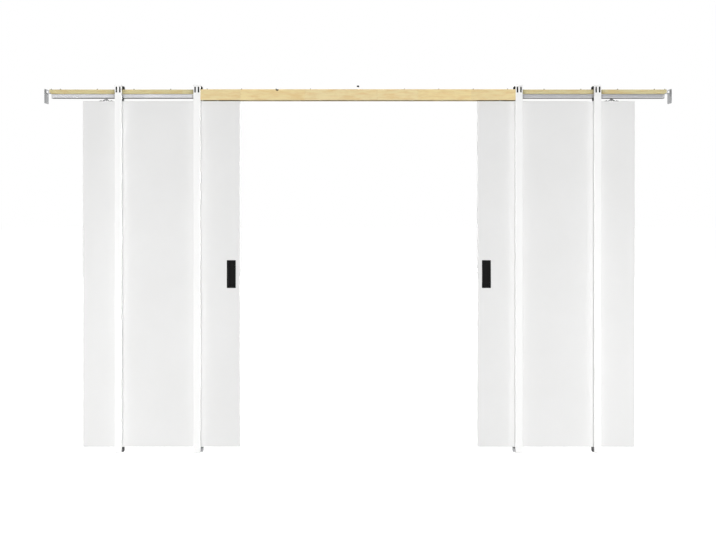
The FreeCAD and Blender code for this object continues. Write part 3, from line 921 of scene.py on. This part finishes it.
def add_screw(shape, head, shank, place, direction):
    """One screw in shape: its seat at place, its head standing out along direction, its shank going in."""
    head_radius, head_height = head
    shank_radius, shank_length = shank
    recess, *rings = [
        ring_places(share * head_radius, lobe, height * head_height)
        for share, lobe, height in [FLOOR_RING] + HEAD_RINGS
    ]
    rings += [ring_places(shank_radius, 0.0, height) for height in (0.0, -shank_length)]
    made = bmesh.ops.create_circle(shape, cap_ends=True, segments=SCREW_SIDES, radius=head_radius)["verts"]
    for point, spot in zip(made, recess):
        point.co = spot
    everything = set(made)
    edges = list({edge for point in made for edge in point.link_edges})
    for ring in rings:
        edges = grow_ring(shape, edges, ring)
        everything |= {point for edge in edges for point in edge.verts}
    bmesh.ops.edgeloop_fill(shape, edges=edges)
    turn = UP.rotation_difference(Vector(direction)).to_matrix().to_4x4()
    bmesh.ops.transform(shape, matrix=Matrix.Translation(place) @ turn, verts=list(everything))


print("rings from recess to seat:", 1 + len(HEAD_RINGS))

# %% From a shape to a piece that rides on a body
SHARP_ANGLE = math.radians(40)


def finish_piece(name, shape, body, slot_name):
    """Turns a bmesh into one piece that rides on a body."""
    bmesh.ops.recalc_face_normals(shape, faces=shape.faces)
    for face in shape.faces:
        face.smooth = True
    mesh = bpy.data.meshes.new(name)
    shape.to_mesh(mesh)
    shape.free()
    mesh.set_sharp_from_angle(angle=SHARP_ANGLE)
    mesh.materials.append(finishes[slot_name])
    piece = bpy.data.objects.new(name, mesh)
    scene.collection.objects.link(piece)
    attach(piece, body)
    print(name, "faces:", len(mesh.polygons))


print("edges sharper than", round(math.degrees(SHARP_ANGLE)), "degrees stay crisp")

# %% [markdown]
# ## Where the screws sit
#
# The screws along the header hold the track, and their heads show as small dark bumps on its top edge. A
# black plate lies behind the two slots of each stud, and a screw in each slot clamps it to the header while
# the stud's height is set. The plate's black is partly painted shade: it makes the slots read as dark holes.
# Each kind of screw is one piece, so a loop drops its copies into one bmesh.

# %% Screws along the header
HEADER_HEAD = (0.0032, 0.006)
HEADER_SHANK = (0.0018, 0.002)
RUN_LENGTH = 4
INNER_FIRST = 0.2695
INNER_STEP = 0.2005
OUTER_FIRST = 1.085
OUTER_STEP = 0.2143
END_SCREW = 1.789
INNER_FORWARD = -0.013
LEFT_OFFSET = -0.007
header_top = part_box("header_strip")[1].z

inner_run = [INNER_FIRST + INNER_STEP * number for number in range(RUN_LENGTH)]
outer_run = [OUTER_FIRST + OUTER_STEP * number for number in range(RUN_LENGTH)]
shape = bmesh.new()
for side in (-1, 1):
    for distance in inner_run + outer_run + [END_SCREW]:
        offset = LEFT_OFFSET if side < 0 and distance < END_SCREW else 0.0
        forward = INNER_FORWARD if distance in inner_run else 0.0
        place = Vector((doorway_x + side * distance + offset, forward, header_top))
        add_screw(shape, HEADER_HEAD, HEADER_SHANK, place, UP)
finish_piece("header_screws", shape, "frame", "black_steel")

# %% Plates behind the slots of the studs, with a screw in each slot
PLATE_SIZE = Vector((0.032, 0.0015, 0.040))
PLATE_ROUND = 0.0003
SLOT_HEAD = (0.0032, 0.0012)
SLOT_SHANK_RADIUS = 0.0019
SLOT_SHANK_BITE = 0.001
SLOT_SCREW_DROP = 0.006
ROUND_SEGMENTS = 2
strip_face = -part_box("header_strip")[0].y
web_inside = wall_face - SHEET
slot_shank = (SLOT_SHANK_RADIUS, web_inside - strip_face + SLOT_SHANK_BITE)


def add_box(shape, size, middle):
    """One box in shape; gives its points."""
    spot = Matrix.Translation(middle) @ Matrix.Diagonal(size).to_4x4()
    return bmesh.ops.create_cube(shape, size=1.0, matrix=spot)["verts"]


def round_edges(shape, edges, radius):
    """Bevels edges to a round of the given radius."""
    bmesh.ops.bevel(
        shape, geom=edges, offset=radius, offset_type="OFFSET", segments=ROUND_SEGMENTS, profile=0.5,
        affect="EDGES", material=-1,
    )


plates = bmesh.new()
screws = bmesh.new()
for side in (-1, 1):
    for stud in (inner_stud, outer_stud):
        for face in (-1, 1):
            x = doorway_x + side * stud
            middle = Vector((x, face * (web_inside - PLATE_SIZE.y / 2), slot_middle))
            made = add_box(plates, PLATE_SIZE, middle)
            round_edges(plates, list({edge for point in made for edge in point.link_edges}), PLATE_ROUND)
            for across in (-SLOT_ACROSS, SLOT_ACROSS):
                place = Vector((x + across, face * web_inside, slot_middle - SLOT_SCREW_DROP))
                add_screw(screws, SLOT_HEAD, slot_shank, place, (0, face, 0))
# The black plates are partly painted shade behind the slots.
finish_piece("stud_slot_plates", plates, "frame", "black_pull")
finish_piece("stud_screws", screws, "frame", "black_pull")

# %% [markdown]
# ## Spacers
#
# A black spacer on the header keeps the two studs of a pair apart, and another stands between their feet on
# the floor plate. Their black is partly painted shade: it darkens the gap between the studs of a pair, where
# shade falls. At the inner pairs, which the doors pass first, the lower one is galvanised and reaches further
# out. Each is an open frame with thin walls, so that the screws inside it can be reached. A box without its
# top and bottom, given a thickness, makes such a frame.

# %% Spacers between the studs of each pair
SPACER_WALL = 0.0025
SPACER_ROUND = 0.0006
UPPER_SPACER = Vector((0.048, 0.043, 0.0165))
LOWER_SPACER = Vector((0.048, 0.043, 0.0225))
SPACER_INWARD = 0.003
GUIDE_INWARD = 0.009
FLOOR_SHEET = 0.002
FLAT_FACING = 0.5


def add_spacer(shape, size, from_doorway, side, foot):
    """One open frame in shape, standing on its foot beside the doorway."""
    middle = Vector((doorway_x + side * from_doorway, 0, foot + size.z / 2))
    faces = {face for point in add_box(shape, size, middle) for face in point.link_faces}
    flat = [face for face in faces if abs(face.normal.z) > FLAT_FACING]
    bmesh.ops.delete(shape, geom=flat, context="FACES_ONLY")
    walls = [face for face in faces if face.is_valid]
    bmesh.ops.solidify(shape, geom=walls, thickness=SPACER_WALL)


def finish_spacers(name, shape, slot_name):
    round_edges(shape, shape.edges[:], SPACER_ROUND)
    finish_piece(name, shape, "frame", slot_name)


upper = bmesh.new()
outer_feet = bmesh.new()
inner_feet = bmesh.new()
for side in (-1, 1):
    for stud in (inner_stud, outer_stud):
        add_spacer(upper, UPPER_SPACER, stud - SPACER_INWARD, side, header_top)
    add_spacer(outer_feet, LOWER_SPACER, outer_stud - SPACER_INWARD, side, FLOOR_SHEET)
    add_spacer(inner_feet, LOWER_SPACER, inner_stud - GUIDE_INWARD, side, FLOOR_SHEET)
# Black spacers: partly painted shade between the studs of each pair.
finish_spacers("upper_spacers", upper, "black_pull")
finish_spacers("outer_foot_spacers", outer_feet, "black_steel")
finish_spacers("inner_foot_spacers", inner_feet, "galvanised_steel")

# %% [markdown]
# ## Smaller screws
#
# Smaller screws fix the hanger plates on the doors, the pulls in their recesses and the ends of the header on
# the ledges of the end brackets. Those on a door have to slide with it, so each door gets pieces of its own
# that ride on its body, and their places are measured from the plates and pulls that they hold.

# %% Screws of the hangers, one pair on each foot
FOOT_HEAD = (0.0036, 0.0026)
SMALL_SHANK = (0.0017, 0.0015)
FOOT_ALONG = 0.030
FOOT_ACROSS = 0.006
FOOT_SHEET = 0.002

for side_name in ("left", "right"):
    shape = bmesh.new()
    for place_name in ("inner", "outer"):
        low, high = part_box(f"{side_name}_{place_name}_hanger_plate")
        middle = (low.x + high.x) / 2
        for along in (-FOOT_ALONG, FOOT_ALONG):
            for across in (-FOOT_ACROSS, FOOT_ACROSS):
                place = Vector((middle + along, across, low.z + FOOT_SHEET))
                add_screw(shape, FOOT_HEAD, SMALL_SHANK, place, UP)
    finish_piece(f"{side_name}_hanger_screws", shape, f"{side_name}_door", "black_steel")

# %% Screws of the pulls, near both ends of each recess
RECESS_HEAD = (0.0034, 0.0010)
RECESS_SHANK = (0.0017, 0.001)
RECESS_UP = 0.058
RECESS_FLOOR = 0.0085

for side_name in ("left", "right"):
    shape = bmesh.new()
    low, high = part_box(f"{side_name}_door_front_pull")
    middle = (low + high) / 2
    for face in (-1, 1):
        for up in (-RECESS_UP, RECESS_UP):
            place = Vector((middle.x, face * RECESS_FLOOR, middle.z + up))
            add_screw(shape, RECESS_HEAD, RECESS_SHANK, place, (0, face, 0))
    finish_piece(f"{side_name}_pull_screws", shape, f"{side_name}_door", "black_pull")

# %% Screws under the ledges of the end brackets
LEDGE_HEAD = (0.0035, 0.0022)
LEDGE_ACROSS = 0.014
LEDGE_UNDER = 0.003

shape = bmesh.new()
for side in (-1, 1):
    for across in (-LEDGE_ACROSS, LEDGE_ACROSS):
        place = Vector((doorway_x + side * END_SCREW, across, track_top + LEDGE_UNDER))
        add_screw(shape, LEDGE_HEAD, SMALL_SHANK, place, -UP)
finish_piece("ledge_screws", shape, "frame", "zinc_steel")
